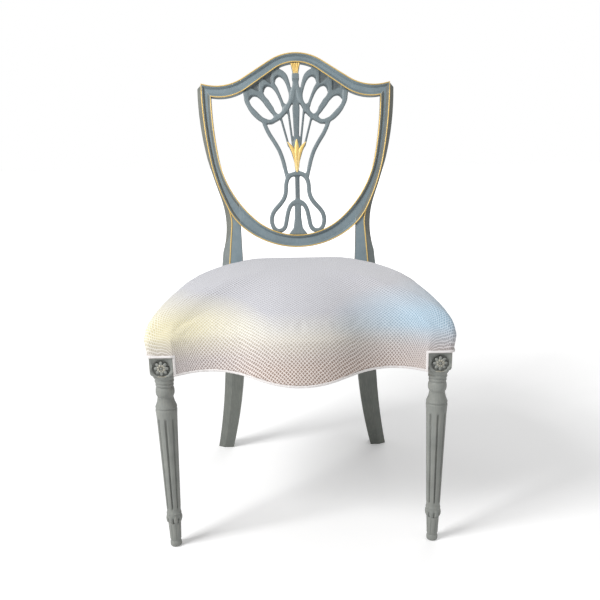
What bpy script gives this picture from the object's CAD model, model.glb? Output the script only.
import bpy, bmesh, math
from mathutils import Matrix, Vector
from mathutils.bvhtree import BVHTree


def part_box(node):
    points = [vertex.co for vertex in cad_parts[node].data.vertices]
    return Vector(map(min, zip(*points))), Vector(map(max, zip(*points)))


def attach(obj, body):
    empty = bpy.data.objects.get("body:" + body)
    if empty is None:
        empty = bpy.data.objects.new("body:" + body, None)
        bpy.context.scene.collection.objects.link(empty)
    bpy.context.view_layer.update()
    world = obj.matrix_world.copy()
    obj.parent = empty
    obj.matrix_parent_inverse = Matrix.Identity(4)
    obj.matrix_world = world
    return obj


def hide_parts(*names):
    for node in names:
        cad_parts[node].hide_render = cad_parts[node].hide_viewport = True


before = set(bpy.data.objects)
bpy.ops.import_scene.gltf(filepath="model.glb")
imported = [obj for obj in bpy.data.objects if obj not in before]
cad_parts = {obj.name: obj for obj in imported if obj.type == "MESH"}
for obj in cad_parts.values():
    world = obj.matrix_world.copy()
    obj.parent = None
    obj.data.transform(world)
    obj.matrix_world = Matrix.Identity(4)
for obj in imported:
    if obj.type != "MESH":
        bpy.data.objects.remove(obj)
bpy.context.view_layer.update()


# Front legs. Each is turned from one square of beech: the block under the seat corner
# keeps its square, then come two rings, a vase, a bell, a fluted shaft and a ringed foot.
# Grey paint over a pale ground, rubbed through on the edges, darker in the hollows.

def socket(group, name, kind, side="INPUT", value=None):
    """One named input or output of a node group."""
    made = group.interface.new_socket(name=name, in_out=side, socket_type=kind)
    if value is not None:
        made.default_value = value
    return made


def add(tree, kind, **values):
    """A node with its plain settings and the values of its inputs."""
    node = tree.nodes.new(kind)
    for key, value in values.items():
        if hasattr(node, key):
            setattr(node, key, value)
        else:
            node.inputs[key.replace("_", " ")].default_value = value
    return node


def join(tree, source, target):
    """Link an output to an input."""
    tree.links.new(source, target)


def blend(tree, factor, first, second, kind="MIX"):
    """Mix two colours by a mask."""
    mix = add(tree, "ShaderNodeMix", data_type="RGBA", blend_type=kind)
    for value, place in ((factor, 0), (first, 6), (second, 7)):
        if isinstance(value, (tuple, float, int)):
            mix.inputs[place].default_value = value
        else:
            join(tree, value, mix.inputs[place])
    return mix.outputs[2]


def ranged(tree, value, low, high, to_low=0.0, to_high=1.0):
    """Stretch a value from one range to another, cut off at both ends."""
    node = add(tree, "ShaderNodeMapRange")
    for place, number in enumerate((low, high, to_low, to_high), 1):
        node.inputs[place].default_value = number
    join(tree, value, node.inputs[0])
    return node.outputs[0]


def aged_paint_group():
    """Brushed paint: mottled, dark in the hollows, rubbed pale on the edges."""
    group = bpy.data.node_groups.new("aged_paint", "ShaderNodeTree")
    socket(group, "Paint", "NodeSocketColor")
    socket(group, "Glaze", "NodeSocketColor")
    socket(group, "Ground", "NodeSocketColor")
    socket(group, "Glaze Amount", "NodeSocketFloat", value=0.8)
    socket(group, "Wear Amount", "NodeSocketFloat", value=0.8)
    socket(group, "Color", "NodeSocketColor", "OUTPUT")
    socket(group, "Roughness", "NodeSocketFloat", "OUTPUT")
    socket(group, "Height", "NodeSocketFloat", "OUTPUT")
    given, out = add(group, "NodeGroupInput"), add(group, "NodeGroupOutput")
    place = add(group, "ShaderNodeTexCoord").outputs["Object"]
    cloud = add(group, "ShaderNodeTexNoise", Scale=22.0, Detail=5.0, Roughness=0.6)
    speck = add(group, "ShaderNodeTexNoise", Scale=260.0, Detail=3.0, Roughness=0.7)
    stroke_turn = add(group, "ShaderNodeMapping", Scale=(420, 420, 24))
    stroke = add(group, "ShaderNodeTexNoise", Scale=1.0, Detail=2.0)
    for node in (cloud, speck, stroke_turn):
        join(group, place, node.inputs["Vector"])
    join(group, stroke_turn.outputs[0], stroke.inputs["Vector"])
    tone = blend(group, ranged(group, cloud.outputs["Fac"], 0.4, 0.75, 0.0, 0.28),
                 given.outputs["Paint"], given.outputs["Glaze"])
    tone = blend(group, ranged(group, stroke.outputs["Fac"], 0.45, 0.8, 0.0, 0.12),
                 tone, given.outputs["Ground"])
    hollow = add(group, "ShaderNodeAmbientOcclusion", only_local=True, samples=6, Distance=0.007)
    in_hollow = ranged(group, hollow.outputs["AO"], 0.86, 0.36)
    dark = add(group, "ShaderNodeMath", operation="MULTIPLY")
    join(group, in_hollow, dark.inputs[0])
    join(group, given.outputs["Glaze Amount"], dark.inputs[1])
    tone = blend(group, dark.outputs[0], tone, given.outputs["Glaze"])
    edge = add(group, "ShaderNodeAmbientOcclusion", only_local=True, inside=True, samples=6,
               Distance=0.0022)
    on_edge = ranged(group, edge.outputs["AO"], 0.62, 0.3)
    broken = ranged(group, speck.outputs["Fac"], 0.36, 0.62, 0.15, 1.0)
    worn = add(group, "ShaderNodeMath", operation="MULTIPLY")
    worn_by = add(group, "ShaderNodeMath", operation="MULTIPLY")
    join(group, on_edge, worn.inputs[0])
    join(group, broken, worn.inputs[1])
    join(group, worn.outputs[0], worn_by.inputs[0])
    join(group, given.outputs["Wear Amount"], worn_by.inputs[1])
    tone = blend(group, worn_by.outputs[0], tone, given.outputs["Ground"])
    join(group, tone, out.inputs["Color"])
    join(group, ranged(group, speck.outputs["Fac"], 0.3, 0.7, 0.38, 0.56), out.inputs["Roughness"])
    join(group, stroke.outputs["Fac"], out.inputs["Height"])
    return group


aged_paint = aged_paint_group()


def painted(name, paint, glaze, ground, glaze_amount=0.8, wear_amount=0.8,
            relief=(0.12, 0.0004)):
    """Painted wood with the wear of the shared group."""
    material = bpy.data.materials.new(name)
    material.use_nodes = True
    tree = material.node_tree
    shader = tree.nodes["Principled BSDF"]
    wear = add(tree, "ShaderNodeGroup", node_tree=aged_paint)
    for key, value in (("Paint", paint), ("Glaze", glaze), ("Ground", ground),
                       ("Glaze Amount", glaze_amount), ("Wear Amount", wear_amount)):
        wear.inputs[key].default_value = value
    bump = add(tree, "ShaderNodeBump", Strength=relief[0], Distance=relief[1])
    join(tree, wear.outputs["Color"], shader.inputs["Base Color"])
    join(tree, wear.outputs["Roughness"], shader.inputs["Roughness"])
    join(tree, wear.outputs["Height"], bump.inputs["Height"])
    join(tree, bump.outputs[0], shader.inputs["Normal"])
    return material


def merged(node):
    """A welded copy of a CAD node's mesh, for new pieces that start from its form."""
    shape = bmesh.new()
    shape.from_mesh(bpy.data.objects[node].data)
    bmesh.ops.remove_doubles(shape, verts=shape.verts, dist=0.00001)
    return shape


def placed(name, shape):
    """An object made of a bmesh, at the origin."""
    mesh = bpy.data.meshes.new(name)
    shape.to_mesh(mesh)
    shape.free()
    holder = bpy.data.objects.new(name, mesh)
    bpy.context.collection.objects.link(holder)
    return holder


def take_in(shape, extra):
    """Add one bmesh to another."""
    mesh = bpy.data.meshes.new("extra")
    extra.to_mesh(mesh)
    extra.free()
    shape.from_mesh(mesh)
    bpy.data.meshes.remove(mesh)


def finish_piece(name, shape, material):
    """A named piece of the chair from a bmesh, its place in its mesh."""
    piece = placed(name, shape)
    piece.data.materials.append(material)
    piece.data.shade_smooth()
    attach(piece, "root")
    return piece


FLUTES = 8
STEPS = 12  # of the turning, from one flute to the next
BLOCK_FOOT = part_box("left_seat_rail")[0].z
# radius and height of the turning, from the foot up, in millimetres
TURNING = [
    (0.01, 0), (8.0, 0), (10.2, 0.9), (11.1, 2.6), (11.3, 6), (11.0, 10), (10.2, 11.6),
    (9.6, 12.6), (9.6, 13.8), (10.4, 15), (11.0, 16.4), (11.5, 30), (12.3, 48), (12.6, 51.4),
    (12.3, 52.6), (13.2, 53.4), (14.6, 55), (15.6, 58), (16.0, 62), (15.6, 66), (14.6, 69),
    (13.9, 70.6), (14.3, 71.6), (14.6, 73), (14.2, 74.6), (13.5, 75.4), (13.4, 80), (13.6, 84),
    (13.8, 87), (14.5, 110), (15.4, 140), (16.5, 180), (17.7, 220), (18.8, 255), (19.4, 272),
    (19.6, 276), (19.8, 280), (20.3, 287), (20.6, 289.5), (20.2, 292.5), (19.2, 293.6),
    (19.3, 294.6), (20.3, 295.8), (20.3, 297.6), (19.4, 298.8), (19.2, 300), (17.6, 304),
    (16.2, 309), (15.2, 314), (14.8, 317.4), (15.8, 318.6), (17.0, 321), (17.7, 325),
    (17.6, 330), (16.8, 334.4), (15.6, 336.4), (15.3, 337.4), (16.6, 338.4), (17.1, 340.6),
    (16.6, 342.8), (15.9, 343.6), (16.8, 344.6), (18.0, 346.6), (18.1, 348.8), (17.4, 350.4),
    (17.2, 351.4), (18.6, 353.6), (20.4, 356.4), (21.4, 360), (21.5, 362)]
# heights and depths of what is carved into it, in millimetres
FLUTE_SPAN, FLUTE_ENDS, FLUTE_DEPTH = (83, 276.5), (84.5, 275), 2.6
LOBE_SPAN, LOBE_FULL, LOBE_DEPTH = (53, 68), 63, 3.4
TOE_SPAN, TOE_DEPTH = (16, 51), 0.9
EASED = 0.2  # how much shallower the sides of a flute are


def carved(height, turn):
    """How deep the turning is carved at a height and a step of the turn."""
    if FLUTE_SPAN[0] < height < FLUTE_SPAN[1] and turn in (0, 1, STEPS - 1):
        if not FLUTE_ENDS[0] <= height <= FLUTE_ENDS[1]:
            return 0
        return FLUTE_DEPTH - (EASED if turn else 0)
    if LOBE_SPAN[0] < height < LOBE_SPAN[1]:
        between = (1 - abs(math.sin(math.pi * turn / STEPS))) ** 1.5
        return LOBE_DEPTH * between * (1 if height < LOBE_FULL else 0.5)
    if TOE_SPAN[0] < height < TOE_SPAN[1] and turn in (5, 6, 7):
        return TOE_DEPTH - (0 if turn == 6 else EASED)
    return 0


def turned_leg(node):
    """The axis and the form of a leg: the carved turning under the CAD leg's block."""
    low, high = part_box(node)
    axis = Vector(((low.x + high.x) / 2, (low.y + high.y) / 2, 0))
    shape = bmesh.new()
    outline = [shape.verts.new((radius / 1000, 0, height / 1000)) for radius, height in TURNING]
    edges = [shape.edges.new(pair) for pair in zip(outline, outline[1:])]
    bmesh.ops.spin(shape, geom=outline + edges, cent=(0, 0, 0), axis=(0, 0, 1),
                   angle=math.tau, steps=FLUTES * STEPS, use_merge=True)
    bmesh.ops.remove_doubles(shape, verts=shape.verts, dist=0.00002)
    bmesh.ops.recalc_face_normals(shape, faces=shape.faces)
    for vert in shape.verts:
        across = Vector((vert.co.x, vert.co.y, 0))
        turn = round(math.atan2(across.y, across.x) / math.tau * FLUTES * STEPS) % STEPS
        vert.co -= across.normalized() * carved(vert.co.z * 1000, turn) / 1000
    bmesh.ops.translate(shape, vec=axis, verts=shape.verts)
    block = merged(node)
    bmesh.ops.bisect_plane(block, geom=block.verts[:] + block.edges[:] + block.faces[:],
                           plane_co=(0, 0, BLOCK_FOOT + 0.0002), plane_no=(0, 0, 1),
                           clear_inner=True)
    rims = [edge for edge in block.edges if edge.is_boundary]
    bmesh.ops.holes_fill(block, edges=rims, sides=0)
    take_in(shape, block)
    return axis, shape


# Rosettes. Two are carved in each front leg's block, on its front and on its outer side:
# two rings of eight rounded petals round a button, inside a sunk ring.

PETAL_COUNT = 8
ROSETTE_HIGH = 0.378
BLOCK_HALF = 0.02175
BUTTON = (0.0029, 0.0029, 0.0032)
# each ring's distance from the middle, and its petals' half length, width and height
PETAL_RINGS = ((0.0088, 0.0050, 0.0034, 0.0021), (0.0052, 0.0030, 0.0021, 0.0026))


def rosette(shape, middle, outward):
    """Petals and a button on the face of a block."""
    turn = outward.to_track_quat("Z", "Y").to_matrix().to_4x4()
    for ring, (reach, *half) in enumerate(PETAL_RINGS):
        for index in range(PETAL_COUNT):
            angle = math.tau * (index + ring / 2) / PETAL_COUNT
            place = (Matrix.Translation(middle) @ turn @ Matrix.Rotation(angle, 4, "Z")
                     @ Matrix.Translation((reach, 0, 0)) @ Matrix.Diagonal((*half, 1)))
            bmesh.ops.create_uvsphere(shape, u_segments=12, v_segments=8, radius=1, matrix=place)
    button = Matrix.Translation(middle) @ turn @ Matrix.Diagonal((*BUTTON, 1))
    bmesh.ops.create_uvsphere(shape, u_segments=16, v_segments=10, radius=1, matrix=button)


leg_paint = painted("leg_paint", (0.250, 0.262, 0.245, 1), (0.045, 0.047, 0.043, 1),
                    (0.60, 0.56, 0.45, 1), 1.0, 1.0)
for name, node, side in (("turned_left_leg", "left_front_leg", -1),
                         ("turned_right_leg", "right_front_leg", 1)):
    axis, shape = turned_leg(node)
    rosette(shape, axis + Vector((0, -BLOCK_HALF, ROSETTE_HIGH)), Vector((0, -1, 0)))
    rosette(shape, axis + Vector((side * BLOCK_HALF, 0, ROSETTE_HIGH)), Vector((side, 0, 0)))
    leg = finish_piece(name, shape, leg_paint)
    leg.data.set_sharp_from_angle(angle=math.radians(32))
    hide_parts(node)


# Seat rails, corner blocks and screws. Bare beech, tenoned into the legs; the glued blocks
# in the corners are each held by two steel screws.

def grain_group():
    """Long fibres and pores of bare wood, along one way of the piece."""
    group = bpy.data.node_groups.new("wood_grain", "ShaderNodeTree")
    socket(group, "Light", "NodeSocketColor")
    socket(group, "Dark", "NodeSocketColor")
    socket(group, "Stretch", "NodeSocketVector")
    socket(group, "Color", "NodeSocketColor", "OUTPUT")
    socket(group, "Height", "NodeSocketFloat", "OUTPUT")
    given, out = add(group, "NodeGroupInput"), add(group, "NodeGroupOutput")
    place = add(group, "ShaderNodeTexCoord")
    turn = add(group, "ShaderNodeMapping")
    fibre = add(group, "ShaderNodeTexNoise", Scale=1.0, Detail=6.0, Roughness=0.65)
    join(group, place.outputs["Object"], turn.inputs["Vector"])
    join(group, given.outputs["Stretch"], turn.inputs["Scale"])
    join(group, turn.outputs[0], fibre.inputs["Vector"])
    tone = blend(group, ranged(group, fibre.outputs["Fac"], 0.35, 0.68),
                 given.outputs["Light"], given.outputs["Dark"])
    join(group, tone, out.inputs["Color"])
    join(group, fibre.outputs["Fac"], out.inputs["Height"])
    return group


wood_grain = grain_group()


def bare_wood(name, stretch):
    """Old unpainted beech, its fibres stretched along the piece."""
    material = bpy.data.materials.new(name)
    material.use_nodes = True
    tree = material.node_tree
    shader = tree.nodes["Principled BSDF"]
    grain = add(tree, "ShaderNodeGroup", node_tree=wood_grain)
    grain.inputs["Light"].default_value = (0.50, 0.33, 0.17, 1)
    grain.inputs["Dark"].default_value = (0.30, 0.17, 0.075, 1)
    grain.inputs["Stretch"].default_value = stretch
    bump = add(tree, "ShaderNodeBump", Strength=0.2, Distance=0.0004)
    shader.inputs["Roughness"].default_value = 0.65
    join(tree, grain.outputs["Color"], shader.inputs["Base Color"])
    join(tree, grain.outputs["Height"], bump.inputs["Height"])
    join(tree, bump.outputs[0], shader.inputs["Normal"])
    return material


def dress(material, *nodes):
    """Give CAD nodes their material."""
    for node in nodes:
        bpy.data.objects[node].data.materials.clear()
        bpy.data.objects[node].data.materials.append(material)


dress(bare_wood("beech_across", (18, 300, 300)), "front_seat_rail", "rear_seat_rail",
      "front_left_corner_block", "front_right_corner_block", "rear_left_corner_block",
      "rear_right_corner_block")
dress(bare_wood("beech_along", (300, 18, 300)), "left_seat_rail", "right_seat_rail")

steel = bpy.data.materials.new("old_steel")
steel.use_nodes = True
tree = steel.node_tree
shader = tree.nodes["Principled BSDF"]
shader.inputs["Metallic"].default_value = 0.9
tarnish = add(tree, "ShaderNodeTexNoise", Scale=700.0, Detail=3.0)
join(tree, add(tree, "ShaderNodeTexCoord").outputs["Object"], tarnish.inputs["Vector"])
join(tree, blend(tree, tarnish.outputs["Fac"], (0.30, 0.29, 0.28, 1), (0.48, 0.47, 0.46, 1)),
     shader.inputs["Base Color"])
join(tree, ranged(tree, tarnish.outputs["Fac"], 0.3, 0.7, 0.35, 0.6), shader.inputs["Roughness"])
dress(steel, "corner_block_screws")


# Rear legs and stiles. Each is one length of beech that sweeps back to the floor below the
# seat and rises above it as the side of the shield. Slate grey-blue paint, turning olive
# on the bevels and on the feet.

SLATE = (0.200, 0.262, 0.292, 1)
DEEP = (0.060, 0.072, 0.078, 1)
CREAM = (0.56, 0.56, 0.50, 1)
OLIVE = (0.150, 0.148, 0.118, 1)


def repaint(material, mask, first, second):
    """Let a painted material go from one paint to another by a mask."""
    tree = material.node_tree
    wear = next(node for node in tree.nodes if node.type == "GROUP")
    join(tree, blend(tree, mask, first, second), wear.inputs["Paint"])


stile_paint = painted("stile_paint", SLATE, DEEP, CREAM)
tree = stile_paint.node_tree
facing = add(tree, "ShaderNodeSeparateXYZ")
sideways = add(tree, "ShaderNodeMath", operation="ABSOLUTE")
height = add(tree, "ShaderNodeSeparateXYZ")
either = add(tree, "ShaderNodeMath", operation="MAXIMUM")
join(tree, add(tree, "ShaderNodeNewGeometry").outputs["True Normal"], facing.inputs[0])
join(tree, facing.outputs["X"], sideways.inputs[0])
join(tree, add(tree, "ShaderNodeTexCoord").outputs["Object"], height.inputs[0])
join(tree, ranged(tree, sideways.outputs[0], 0.25, 0.55, 0.0, 0.85), either.inputs[0])
join(tree, ranged(tree, height.outputs["Z"], 0.46, 0.36, 0.0, 0.8), either.inputs[1])
repaint(stile_paint, either.outputs[0], SLATE, OLIVE)
dress(stile_paint, "left_rear_stile", "right_rear_stile")


# Crest rail and bottom rail of the shield. Beech, moulded with a hollow between two narrow
# flats, doweled and mitred to the stiles, in the same paint.

dress(painted("slate_paint", SLATE, DEEP, CREAM), "crest_rail", "lower_shield_rail",
      "ear_dowels")


# Gilded lines. Fine beads of pale gold leaf run along the outer rim and the opening of the
# shield and down the bevels of the posts. They follow the arrises of the moulded rails.

LINE = 0.0015
WALL_DEPTH = 0.001  # a rim's wall goes at least this deep
POST_DEPTH = 0.003  # the posts' arris lies this far behind the shield's face
# the shield's face: across, up and outwards from where it starts to lean back
LEAN = math.radians(11.37)
FACE_FOOT = (0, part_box("rear_seat_rail")[0].y, 0.480)
BACK = Matrix.Translation(FACE_FOOT) @ Matrix.Rotation(math.radians(90) - LEAN, 4, "X")
FACE_OUT = (BACK.to_3x3() @ Vector((0, 0, 1))).normalized()


def settled(holder):
    """The mesh of an object with its modifiers or its curve worked out, as a bmesh."""
    graph = bpy.context.evaluated_depsgraph_get()
    mesh = bpy.data.meshes.new_from_object(holder.evaluated_get(graph))
    shape = bmesh.new()
    shape.from_mesh(mesh)
    bpy.data.meshes.remove(mesh)
    bpy.data.objects.remove(holder)
    return shape


gold = painted("pale_gold", (0.76, 0.53, 0.17, 1), (0.30, 0.17, 0.05, 1),
               (0.95, 0.82, 0.48, 1), 0.9, 0.6, (0.15, 0.0003))
gold.node_tree.nodes["Principled BSDF"].inputs["Metallic"].default_value = 0.45


def arris_line(name, nodes):
    """Fine beads along the arrises where the flats of the moulding end."""
    into = BACK.inverted()
    lines = bmesh.new()
    for node in nodes:
        shape = merged(node)
        for edge in shape.edges:
            ends = [into @ v.co for v in edge.verts]
            if len(edge.link_faces) != 2:
                continue
            flat = [f for f in edge.link_faces if f.normal.dot(FACE_OUT) > 0.99]
            steep = [f for f in edge.link_faces if abs(f.normal.dot(FACE_OUT)) < 0.97]
            if not flat or not steep:
                continue
            on_rim = (max(abs(p.z) for p in ends) < 0.0002
                      and min((into @ v.co).z for v in steep[0].verts) < -WALL_DEPTH)
            on_post = (max(abs(p.z + POST_DEPTH) for p in ends) < 0.0004
                       and steep[0].normal.dot(FACE_OUT) > 0.2)
            if on_rim or on_post:
                lines.edges.new([lines.verts.new(v.co) for v in edge.verts])
        shape.free()
    bmesh.ops.remove_doubles(lines, verts=lines.verts, dist=0.00002)
    holder = placed(name, lines)
    bpy.ops.object.select_all(action="DESELECT")
    holder.select_set(True)
    bpy.context.view_layer.objects.active = holder
    bpy.ops.object.convert(target="CURVE")
    holder.data.bevel_depth = LINE
    holder.data.bevel_resolution = 1
    holder.data.use_fill_caps = True
    return finish_piece(name, settled(holder), gold)


arris_line("gilded_lines", ("left_rear_stile", "right_rear_stile", "crest_rail",
                            "lower_shield_rail"))


# Splat. One board of beech cut through into petals, swags, ribs and a lyre, its straps
# rounded over by the carver; tongues hold it between the crest and the bottom rail.

OPENING_TOP, OPENING_FOOT = 0.4745, 0.0755
SPLAT_VOXEL = 0.0013
SPLAT_BACK = -0.017
# outlines of one side, across and down from the top of the opening, in millimetres: the
# three openings of the petals, the web that joins their heads to the crest, the collar
# under the capital, and the sunk corners between the heads
PETAL_HOLES = [
    [(39.5, 29.6), (28, 38), (19, 60), (16.5, 80), (26, 98), (33, 79), (42.5, 56), (49, 39)],
    [(68, 51), (57, 55), (44.5, 71), (35.5, 90), (32.5, 107), (41, 118), (52, 103),
     (65, 83), (76, 65)],
    [(99.5, 73.5), (88.5, 77.5), (73, 95), (59, 113), (52, 126), (62, 131.5), (77, 125),
     (93, 109), (105, 96), (109, 84)]]
WEB = [(36, 7), (50, 13), (82, 33), (118, 58), (119, 76), (104, 69), (70, 46), (40, 25)]
COLLAR = [(0, 27), (8.4, 27), (8.4, 39), (0, 39)]
NOTCHES = [[(56, 20), (78, 34), (56, 50)], [(86, 41), (108, 56), (85, 66)]]
WEB_FACE, COLLAR_FACE, NOTCH_FLOOR = -0.0050, 0.0004, -0.0074
THROUGH = (0.01, -0.03)


def flat_form(outlines, front, back, round_off=True):
    """Boards cut to outlines of the shield's face and to their mirror images."""
    path = bpy.data.curves.new("board", "CURVE")
    path.dimensions = "2D"
    path.fill_mode = "BOTH"
    path.extrude = (front - back) / 2
    path.resolution_u = 8
    for outline in outlines:
        for side in (-1, 1):
            line = path.splines.new("NURBS" if round_off else "POLY")
            line.points.add(len(outline) - 1)
            for point, (x, down) in zip(line.points, outline):
                point.co = (side * x / 1000, OPENING_TOP - down / 1000, 0, 1)
            line.use_cyclic_u = True
            line.order_u = 3
    holder = bpy.data.objects.new("board", path)
    bpy.context.collection.objects.link(holder)
    shape = settled(holder)
    bmesh.ops.remove_doubles(shape, verts=shape.verts, dist=0.00001)
    bmesh.ops.translate(shape, vec=(0, 0, (front + back) / 2), verts=shape.verts)
    bmesh.ops.transform(shape, matrix=BACK, verts=shape.verts)
    bmesh.ops.recalc_face_normals(shape, faces=shape.faces)
    return shape


def softened(shape, voxel, rounds):
    """Even out a merged form and round its edges over, as carving does."""
    holder = placed("soft", shape)
    remesh = holder.modifiers.new("even", "REMESH")
    remesh.mode = "VOXEL"
    remesh.voxel_size = voxel
    soft = settled(holder)
    for _ in range(rounds):
        bmesh.ops.smooth_vert(soft, verts=soft.verts, factor=0.5, use_axis_x=True,
                              use_axis_y=True, use_axis_z=True)
    return soft


def cut_away(shape, tool):
    """Cut one closed form out of another."""
    blank, cutter = placed("blank", shape), placed("cutter", tool)
    cut = blank.modifiers.new("cut", "BOOLEAN")
    cut.operation = "DIFFERENCE"
    cut.object = cutter
    left = settled(blank)
    bpy.data.objects.remove(cutter)
    return left


def pierced_splat():
    """The CAD splat with its heads filled up to the crest and its petals opened fully."""
    shape = merged("splat")
    for outline, front in ((WEB, WEB_FACE), (COLLAR, COLLAR_FACE)):
        take_in(shape, flat_form([outline], front, SPLAT_BACK, False))
    shape = softened(shape, SPLAT_VOXEL, 0)
    shape = cut_away(shape, flat_form(PETAL_HOLES, *THROUGH))
    return cut_away(shape, flat_form(NOTCHES, THROUGH[0], NOTCH_FLOOR, False))


# the paint is darker in what is sunk below the splat's face
SPLAT_SLATE = (0.180, 0.225, 0.242, 1)
splat_paint = painted("splat_paint", SPLAT_SLATE, DEEP, CREAM, 1.0, 1.0)
tree = splat_paint.node_tree
depth = add(tree, "ShaderNodeVectorMath", operation="DOT_PRODUCT")
join(tree, add(tree, "ShaderNodeTexCoord").outputs["Object"], depth.inputs[0])
depth.inputs[1].default_value = FACE_OUT
face = FACE_OUT.dot(BACK.translation)
outward = add(tree, "ShaderNodeVectorMath", operation="DOT_PRODUCT")
join(tree, add(tree, "ShaderNodeNewGeometry").outputs["Normal"], outward.inputs[0])
outward.inputs[1].default_value = FACE_OUT
sunk = add(tree, "ShaderNodeMath", operation="MULTIPLY")
join(tree, ranged(tree, depth.outputs["Value"], face - 0.0042, face - 0.0075, 0.0, 0.8),
     sunk.inputs[0])
join(tree, ranged(tree, outward.outputs["Value"], 0.3, 0.8), sunk.inputs[1])
repaint(splat_paint, sunk.outputs[0], SPLAT_SLATE, DEEP)
splat = finish_piece("carved_splat", softened(pierced_splat(), SPLAT_VOXEL, 3), splat_paint)
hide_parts("splat")


# Gilded capital and palmette. Small carved leaves on the face of the splat: a fluted
# capital under the crest and a three-leaved palmette above the lyre, laid with gold leaf.

SPLAT_FACE = -0.0025
CAPITAL_LOW, CAPITAL_HIGH = OPENING_TOP - 0.0272, OPENING_TOP - 0.0030
PALMETTE_FOOT = OPENING_FOOT + 0.147


def leaf(shape, points, radii, flat):
    """A tapering leaf along points of the shield's face, its depth a share of its width."""
    path = bpy.data.curves.new("leaf", "CURVE")
    path.dimensions = "3D"
    path.bevel_depth = 1.0
    path.bevel_resolution = 3
    path.resolution_u = 6
    path.use_fill_caps = True
    line = path.splines.new("NURBS")
    line.points.add(len(points) - 1)
    line.use_endpoint_u = True
    line.order_u = 3
    for point, (x, y), radius in zip(line.points, points, radii):
        point.co = (x, y, 0, 1)
        point.radius = radius
    holder = bpy.data.objects.new("leaf", path)
    bpy.context.collection.objects.link(holder)
    made = settled(holder)
    bmesh.ops.scale(made, vec=(1, 1, flat), verts=made.verts)
    bmesh.ops.translate(made, vec=(0, 0, SPLAT_FACE), verts=made.verts)
    bmesh.ops.transform(made, matrix=BACK, verts=made.verts)
    take_in(shape, made)


capital = bmesh.new()
for side in (-2, -1, 0, 1, 2):
    leaf(capital, [(side * 0.0022, CAPITAL_LOW), (side * 0.0024, CAPITAL_LOW + 0.010),
                   (side * 0.0045, CAPITAL_HIGH)], (0.0010, 0.0015, 0.0023), 1.1)
leaf(capital, [(-0.0066, CAPITAL_LOW), (0.0066, CAPITAL_LOW)], (0.0014, 0.0014), 1.0)
finish_piece("gilded_capital", capital, gold)

palmette = bmesh.new()
leaf(palmette, [(0, PALMETTE_FOOT), (0, PALMETTE_FOOT + 0.030), (0, PALMETTE_FOOT + 0.056),
                (0, PALMETTE_FOOT + 0.076)], (0.0018, 0.0040, 0.0076, 0.0010), 0.4)
for side in (-1, 1):
    leaf(palmette, [(side * 0.0022, PALMETTE_FOOT + 0.004),
                    (side * 0.0040, PALMETTE_FOOT + 0.034),
                    (side * 0.0100, PALMETTE_FOOT + 0.056),
                    (side * 0.0215, PALMETTE_FOOT + 0.070)],
         (0.0014, 0.0034, 0.0056, 0.0008), 0.4)
finish_piece("gilded_palmette", palmette, gold)


# Webbing, hessian and dust cover. Jute webs are interlaced and tacked across the rails,
# a hessian lies on them, and a dark cloth tacked under the rails keeps the dust in.

def weave_group():
    """Warp and weft threads crossing over the first two axes of a place."""
    group = bpy.data.node_groups.new("plain_weave", "ShaderNodeTree")
    socket(group, "Place", "NodeSocketVector")
    socket(group, "Thread", "NodeSocketColor")
    socket(group, "Gap", "NodeSocketColor")
    socket(group, "Threads per Metre", "NodeSocketFloat", value=900.0)
    socket(group, "Turn", "NodeSocketFloat", value=0.0)
    socket(group, "Thread Width", "NodeSocketFloat", value=0.75)
    socket(group, "Color", "NodeSocketColor", "OUTPUT")
    socket(group, "Height", "NodeSocketFloat", "OUTPUT")
    given, out = add(group, "NodeGroupInput"), add(group, "NodeGroupOutput")
    turn = add(group, "ShaderNodeVectorRotate", rotation_type="Z_AXIS")
    join(group, given.outputs["Place"], turn.inputs["Vector"])
    join(group, given.outputs["Turn"], turn.inputs["Angle"])
    uneven = add(group, "ShaderNodeTexNoise", Scale=60.0, Detail=2.0)
    join(group, given.outputs["Place"], uneven.inputs["Vector"])
    strands = []
    parts = add(group, "ShaderNodeSeparateXYZ")
    join(group, turn.outputs[0], parts.inputs[0])
    for axis in (0, 1):
        count = add(group, "ShaderNodeMath", operation="MULTIPLY")
        join(group, parts.outputs[axis], count.inputs[0])
        join(group, given.outputs["Threads per Metre"], count.inputs[1])
        drift = add(group, "ShaderNodeMath", operation="ADD")
        join(group, count.outputs[0], drift.inputs[0])
        join(group, ranged(group, uneven.outputs["Fac"], 0.0, 1.0, 0.0, 0.9), drift.inputs[1])
        swing = add(group, "ShaderNodeMath", operation="PINGPONG")
        swing.inputs[1].default_value = 0.5
        join(group, drift.outputs[0], swing.inputs[0])
        strand = ranged(group, swing.outputs[0], 0.0, 0.5, 1.0, 0.0)
        edge = add(group, "ShaderNodeMapRange")
        join(group, strand, edge.inputs[0])
        join(group, given.outputs["Thread Width"], edge.inputs[1])
        rim = add(group, "ShaderNodeMath", operation="SUBTRACT")
        rim.inputs[1].default_value = 0.3
        join(group, given.outputs["Thread Width"], rim.inputs[0])
        join(group, rim.outputs[0], edge.inputs[2])
        strands.append(edge.outputs[0])
    top = add(group, "ShaderNodeMath", operation="MAXIMUM")
    join(group, strands[0], top.inputs[0])
    join(group, strands[1], top.inputs[1])
    join(group, blend(group, top.outputs[0], given.outputs["Gap"], given.outputs["Thread"]),
         out.inputs["Color"])
    join(group, top.outputs[0], out.inputs["Height"])
    return group


plain_weave = weave_group()


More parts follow.
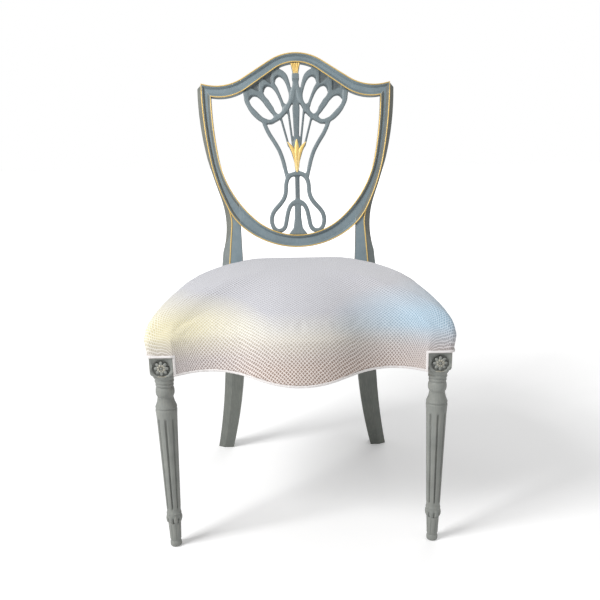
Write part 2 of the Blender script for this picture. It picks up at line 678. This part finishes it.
def woven(name, thread, gap, threads):
    """Cloth or webbing of the shared weave, with so many threads per metre."""
    material = bpy.data.materials.new(name)
    material.use_nodes = True
    tree = material.node_tree
    shader = tree.nodes["Principled BSDF"]
    weave = add(tree, "ShaderNodeGroup", node_tree=plain_weave)
    join(tree, add(tree, "ShaderNodeTexCoord").outputs["Object"], weave.inputs["Place"])
    for key, value in (("Thread", thread), ("Gap", gap), ("Threads per Metre", threads)):
        weave.inputs[key].default_value = value
    bump = add(tree, "ShaderNodeBump", Strength=0.5, Distance=0.0004)
    join(tree, weave.outputs["Color"], shader.inputs["Base Color"])
    join(tree, weave.outputs["Height"], bump.inputs["Height"])
    join(tree, bump.outputs[0], shader.inputs["Normal"])
    shader.inputs["Roughness"].default_value = 0.9
    shader.inputs["Sheen Weight"].default_value = 0.3
    return material


dress(woven("jute", (0.42, 0.30, 0.17, 1), (0.20, 0.13, 0.07, 1), 420),
      "webbing_lengthwise", "webbing_crosswise")

CLOTH_CELL = 0.012
BOTTOM_SAG = 0.0006


def cut_evenly(shape, cells, axes):
    """Cut a mesh into cells along the axes, so that it can bend and sag."""
    for axis in axes:
        places = [vert.co[axis] for vert in shape.verts]
        side = Vector([index == axis for index in range(3)])
        for step in range(1, int((max(places) - min(places)) / cells)):
            bmesh.ops.bisect_plane(
                shape, geom=shape.verts[:] + shape.edges[:] + shape.faces[:],
                plane_co=side * (min(places) + step * cells), plane_no=side)


def stretched_cloth(name, node, material, sag=0.0):
    """A tacked cloth: the CAD sheet cut into small cells, sagging a little in the middle."""
    low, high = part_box(node)
    shape = merged(node)
    cut_evenly(shape, CLOTH_CELL, (0, 1))
    middle, half = (low + high) / 2, (high - low) / 2
    for vert in shape.verts:
        across = 1 - ((vert.co.x - middle.x) / half.x) ** 2
        deep = 1 - ((vert.co.y - middle.y) / half.y) ** 2
        vert.co.z -= sag * max(across, 0) * max(deep, 0)
    return finish_piece(name, shape, material)


def cut_of(node):
    """The size and the area that a tacked cloth was cut to."""
    low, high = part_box(node)
    shape = merged(node)
    area = sum(face.calc_area() for face in shape.faces if face.normal.z > 0.9)
    shape.free()
    return {"flat": (high.x - low.x, high.y - low.y), "area": area, "held": "stretched"}


hessian = stretched_cloth("hessian_cloth", "hessian", woven(
    "hessian", (0.46, 0.35, 0.21, 1), (0.22, 0.15, 0.09, 1), 620))
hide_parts("hessian")
cut_of("hessian")
dust = stretched_cloth("bottom_cloth", "dust_cover", woven(
    "black_bottom_cloth", (0.030, 0.030, 0.032, 1), (0.012, 0.012, 0.013, 1), 900), BOTTOM_SAG)
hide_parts("dust_cover")
cut_of("dust_cover")


# Upholstered seat. Hair and wadding are pulled down tight over the rails under one cloth,
# a pale trellis weave. Its skin starts from the CAD cover and is filled by cloth pressure.

LILAC = (0.67, 0.68, 0.72, 1)
# the cloth shimmers: middle and reach of each wash of cream, white, sky blue and rose, the
# colours of its ground and of its raised threads, and its strength
WASHES = [
    ((-0.225, -0.26, 0.448), (0.15, 0.19, 0.050),
     (0.74, 0.66, 0.38, 1), (0.90, 0.86, 0.68, 1), 0.95),
    ((-0.01, -0.28, 0.430), (0.20, 0.15, 0.042),
     (0.62, 0.58, 0.48, 1), (0.88, 0.86, 0.79, 1), 0.8),
    ((0.240, -0.23, 0.462), (0.16, 0.19, 0.045),
     (0.31, 0.47, 0.60, 1), (0.62, 0.76, 0.87, 1), 0.9),
    ((0.05, -0.30, 0.372), (0.45, 0.18, 0.064),
     (0.31, 0.220, 0.175, 1), (0.86, 0.77, 0.72, 1), 0.95)]

trellis = bpy.data.materials.new("trellis_cloth")
trellis.use_nodes = True
tree = trellis.node_tree
shader = tree.nodes["Principled BSDF"]
place = add(tree, "ShaderNodeTexCoord").outputs["UV"]
ground = add(tree, "ShaderNodeGroup", node_tree=plain_weave)
raised = add(tree, "ShaderNodeGroup", node_tree=plain_weave)
for weave, thread, gap, threads, turn, width in (
        (ground, (0.41, 0.40, 0.43, 1), (0.31, 0.30, 0.32, 1), 640, 0.0, 0.75),
        (raised, (1.0, 1.0, 1.0, 1), (0.0, 0.0, 0.0, 1), 205, math.radians(45), 0.46)):
    join(tree, place, weave.inputs["Place"])
    for key, value in (("Thread", thread), ("Gap", gap), ("Threads per Metre", threads),
                       ("Turn", turn), ("Thread Width", width)):
        weave.inputs[key].default_value = value
base, thread = ground.outputs["Color"], LILAC
for middle, reach, wash, pale, strength in WASHES:
    centred = add(tree, "ShaderNodeMapping", vector_type="TEXTURE", Location=middle, Scale=reach)
    join(tree, add(tree, "ShaderNodeTexCoord").outputs["Object"], centred.inputs["Vector"])
    distance = add(tree, "ShaderNodeVectorMath", operation="LENGTH")
    join(tree, centred.outputs[0], distance.inputs[0])
    mask = ranged(tree, distance.outputs["Value"], 1.25, 0.25, 0.0, strength)
    base = blend(tree, mask, base, wash)
    thread = blend(tree, mask, thread, pale)
tone = blend(tree, ranged(tree, raised.outputs["Height"], 0.1, 0.9, 0.0, 0.95), base, thread)
join(tree, tone, shader.inputs["Base Color"])
bump = add(tree, "ShaderNodeBump", Strength=0.5, Distance=0.0005)
join(tree, raised.outputs["Height"], bump.inputs["Height"])
join(tree, bump.outputs[0], shader.inputs["Normal"])
shader.inputs["Roughness"].default_value = 0.85
shader.inputs["Sheen Weight"].default_value = 0.3

SEAT_CELL = 0.008
SEAT_CORE = Vector((0, -0.042, 0.40))
HALF_WIDE, HALF_DEEP = 0.284, 0.262
SHOULDER, CROWN_SCALE = 0.434, 0.95
CROWN_FOOT = SHOULDER + 0.004
CROWN_ROUNDS, CORNER_ROUNDS = 24, 16
BLOCK_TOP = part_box("left_front_leg")[1].z + 0.004
FILL_FRAMES, FILL_MOST = 20, 0.003
SIDE_LOW, SIDE_HIGH, SIDE_SWELL = 0.400, 0.520, 0.006
CLOTH_THICK, TUCK = 0.0012, 0.012
TURN_HEIGHT, DROP_SHARE = 0.500, 0.9


def seat_skin():
    """The outer skin of the CAD cover in even cells, its crown smoothed."""
    shape = merged("seat_cover")
    inner = []
    for face in shape.faces:
        out = face.calc_center_median() - SEAT_CORE
        out.z = max(out.z, 0)
        if face.normal.dot(out) <= 0.15 * out.length:
            inner.append(face)
    bmesh.ops.delete(shape, geom=inner, context="FACES")
    cut_evenly(shape, SEAT_CELL, (0, 1, 2))
    bmesh.ops.remove_doubles(shape, verts=shape.verts, dist=0.0004)
    for _ in range(CROWN_ROUNDS):
        crown = [v for v in shape.verts if v.co.z > CROWN_FOOT and not v.is_boundary]
        bmesh.ops.smooth_vert(shape, verts=crown, factor=0.5, use_axis_x=True,
                              use_axis_y=True, use_axis_z=True)
    # over the blocks the walls run on without a crease
    for _ in range(CORNER_ROUNDS):
        corners = [v for v in shape.verts if v.co.z > BLOCK_TOP and v.co.y < -0.20
                   and abs(v.co.x) > 0.19 and not v.is_boundary]
        bmesh.ops.smooth_vert(shape, verts=corners, factor=0.5, use_axis_x=True,
                              use_axis_y=True, use_axis_z=False)
    return shape


def filled(shape):
    """Let cloth pressure fill the crown, its lower edge held where it is tacked."""
    holder = placed("filling", shape.copy())
    held = holder.vertex_groups.new(name="held")
    held.add([v.index for v in holder.data.vertices if v.co.z < CROWN_FOOT], 1.0, "REPLACE")
    cloth = holder.modifiers.new("cloth", "CLOTH")
    cloth.settings.quality = 4
    cloth.settings.mass = 0.3
    cloth.settings.tension_stiffness = 30
    cloth.settings.compression_stiffness = 30
    cloth.settings.bending_stiffness = 2
    cloth.settings.use_pressure = True
    cloth.settings.uniform_pressure_force = 4
    cloth.settings.vertex_group_mass = "held"
    cloth.settings.effector_weights.gravity = 0
    cloth.point_cache.frame_start, cloth.point_cache.frame_end = 1, FILL_FRAMES
    for moment in range(1, FILL_FRAMES + 1):
        bpy.context.scene.frame_set(moment)
    moved = settled(holder)
    bpy.context.scene.frame_set(1)
    for vert, after in zip(shape.verts, moved.verts):
        step = after.co - vert.co
        vert.co += step * min(1, FILL_MOST / max(step.length, 1e-9))
    moved.free()
    return shape


cover_shape = seat_skin()
cover_shape = filled(cover_shape)
for vert in cover_shape.verts:
    height = vert.co.z
    if height > SHOULDER:
        vert.co.z = SHOULDER + (height - SHOULDER) * CROWN_SCALE
    if SIDE_LOW < height < SIDE_HIGH:
        swell = min(abs(vert.co.x) / HALF_WIDE, 1) ** 6 * SIDE_SWELL
        swell *= math.sin(math.pi * (height - SIDE_LOW) / (SIDE_HIGH - SIDE_LOW))
        vert.co.x += math.copysign(swell, vert.co.x)
# its rear ends are tucked against the rear legs
for stile in ("left_rear_stile", "right_rear_stile"):
    stile_shape = merged(stile)
    wood = BVHTree.FromBMesh(stile_shape)
    for vert in cover_shape.verts:
        met = wood.find_nearest(vert.co, TUCK)[0]
        if vert.is_boundary and met and met.y > vert.co.y:
            vert.co.y = met.y
    stile_shape.free()
bmesh.ops.recalc_face_normals(cover_shape, faces=cover_shape.faces[:])
# the weave is laid flat on the crown and runs straight down each wall
cover_uv = cover_shape.loops.layers.uv.new("cut")
for face in cover_shape.faces:
    for corner in face.loops:
        flat = Vector((corner.vert.co.x, corner.vert.co.y - SEAT_CORE.y))
        away = Vector(((flat.x / HALF_WIDE) ** 17, (flat.y / HALF_DEEP) ** 17))
        drop = max(TURN_HEIGHT - corner.vert.co.z, 0) * DROP_SHARE
        corner[cover_uv].uv = flat + away.normalized() * drop
cover = finish_piece("upholstered_seat", cover_shape, trellis)
wall = cover.modifiers.new("cloth_and_lining", "SOLIDIFY")
wall.thickness = CLOTH_THICK
wall.offset = -1
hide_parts("seat_cover", "seat_padding")


# Piping. A cord covered in plain off-white cloth is sewn along the lower edge of the seat
# cover and round the bare blocks.

PIPING_VOXEL = 0.0009
piping_cloth = woven("piping_cloth", (0.84, 0.81, 0.80, 1), (0.66, 0.61, 0.59, 1), 1500)
piping = finish_piece("round_piping", softened(merged("piping"), PIPING_VOXEL, 4), piping_cloth)
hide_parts("piping")


# Camera. It stands in front of the chair a little to its left, looking down at it.

LOOK_DOWN, LOOK_ASIDE, TILT = 0.2897, -0.0189, 0.0138
right = Vector((math.cos(LOOK_ASIDE), math.sin(LOOK_ASIDE), 0))
up = Vector((-math.sin(LOOK_ASIDE) * math.sin(LOOK_DOWN),
             math.cos(LOOK_ASIDE) * math.sin(LOOK_DOWN), math.cos(LOOK_DOWN)))
image_right = right * math.cos(TILT) - up * math.sin(TILT)
image_up = right * math.sin(TILT) + up * math.cos(TILT)
lens = bpy.data.cameras.new("camera")
lens.sensor_width = 36
lens.lens = 45
lens.shift_x = -0.0215
lens.shift_y = 0.0833
camera = bpy.data.objects.new("camera", lens)
turn = Matrix((image_right, image_up, image_right.cross(image_up))).transposed()
camera.matrix_world = Matrix.Translation((-0.00308, -1.57914, 0.80023)) @ turn.to_4x4()
bpy.context.collection.objects.link(camera)
bpy.context.scene.camera = camera


# Studio. A pale floor that brightens to plain white away from the chair, one large soft
# lamp high on the left, weak ones on the right and behind, and an even pale world.

LAMPS = (("key_lamp", (-1.9, -1.3, 2.2), 70, 1.0), ("fill_lamp", (1.9, -1.4, 1.5), 4, 1.8),
         ("back_lamp", (0.6, 1.8, 2.2), 12, 1.6))
LAMP_AIM = Vector((0, 0, 0.45))


def floor_material():
    """A matt floor; what the camera sees of it glows more, the further it is away."""
    material = bpy.data.materials.new("studio_floor")
    material.use_nodes = True
    tree = material.node_tree
    tree.nodes.clear()
    grain = add(tree, "ShaderNodeTexNoise", Scale=3.0)
    matt = add(tree, "ShaderNodeBsdfDiffuse")
    join(tree, ranged(tree, grain.outputs["Fac"], 0.0, 1.0, 0.93, 0.95), matt.inputs["Color"])
    away = add(tree, "ShaderNodeVectorMath", operation="LENGTH")
    join(tree, add(tree, "ShaderNodeTexCoord").outputs["Object"], away.inputs[0])
    lift = add(tree, "ShaderNodeMath", operation="MULTIPLY")
    join(tree, add(tree, "ShaderNodeLightPath").outputs["Is Camera Ray"], lift.inputs[0])
    join(tree, ranged(tree, away.outputs["Value"], 0.9, 3.5, 0.20, 1.0), lift.inputs[1])
    glow = add(tree, "ShaderNodeEmission")
    join(tree, lift.outputs[0], glow.inputs["Strength"])
    both = add(tree, "ShaderNodeAddShader")
    join(tree, matt.outputs[0], both.inputs[0])
    join(tree, glow.outputs[0], both.inputs[1])
    join(tree, both.outputs[0], add(tree, "ShaderNodeOutputMaterial").inputs["Surface"])
    return material


shape = bmesh.new()
bmesh.ops.create_grid(shape, x_segments=1, y_segments=1, size=14)
floor = placed("studio_floor", shape)
floor.data.materials.append(floor_material())

for name, place, energy, side in LAMPS:
    lamp = bpy.data.lights.new(name, "AREA")
    lamp.energy = energy
    lamp.size = side
    holder = bpy.data.objects.new(name, lamp)
    holder.location = place
    holder.rotation_euler = (LAMP_AIM - Vector(place)).to_track_quat("-Z", "Y").to_euler()
    bpy.context.collection.objects.link(holder)

world = bpy.data.worlds.new("studio_world")
world.use_nodes = True
tree = world.node_tree
path = add(tree, "ShaderNodeLightPath")
seen = add(tree, "ShaderNodeMath", operation="MAXIMUM")
join(tree, path.outputs["Is Camera Ray"], seen.inputs[0])
join(tree, path.outputs["Is Glossy Ray"], seen.inputs[1])
background = tree.nodes["Background"]
background.inputs["Color"].default_value = (1, 1, 1, 1)
join(tree, ranged(tree, seen.outputs[0], 0.0, 1.0, 0.42, 1.0), background.inputs["Strength"])
bpy.context.scene.world = world
bpy.context.scene.view_settings.view_transform = "Standard"
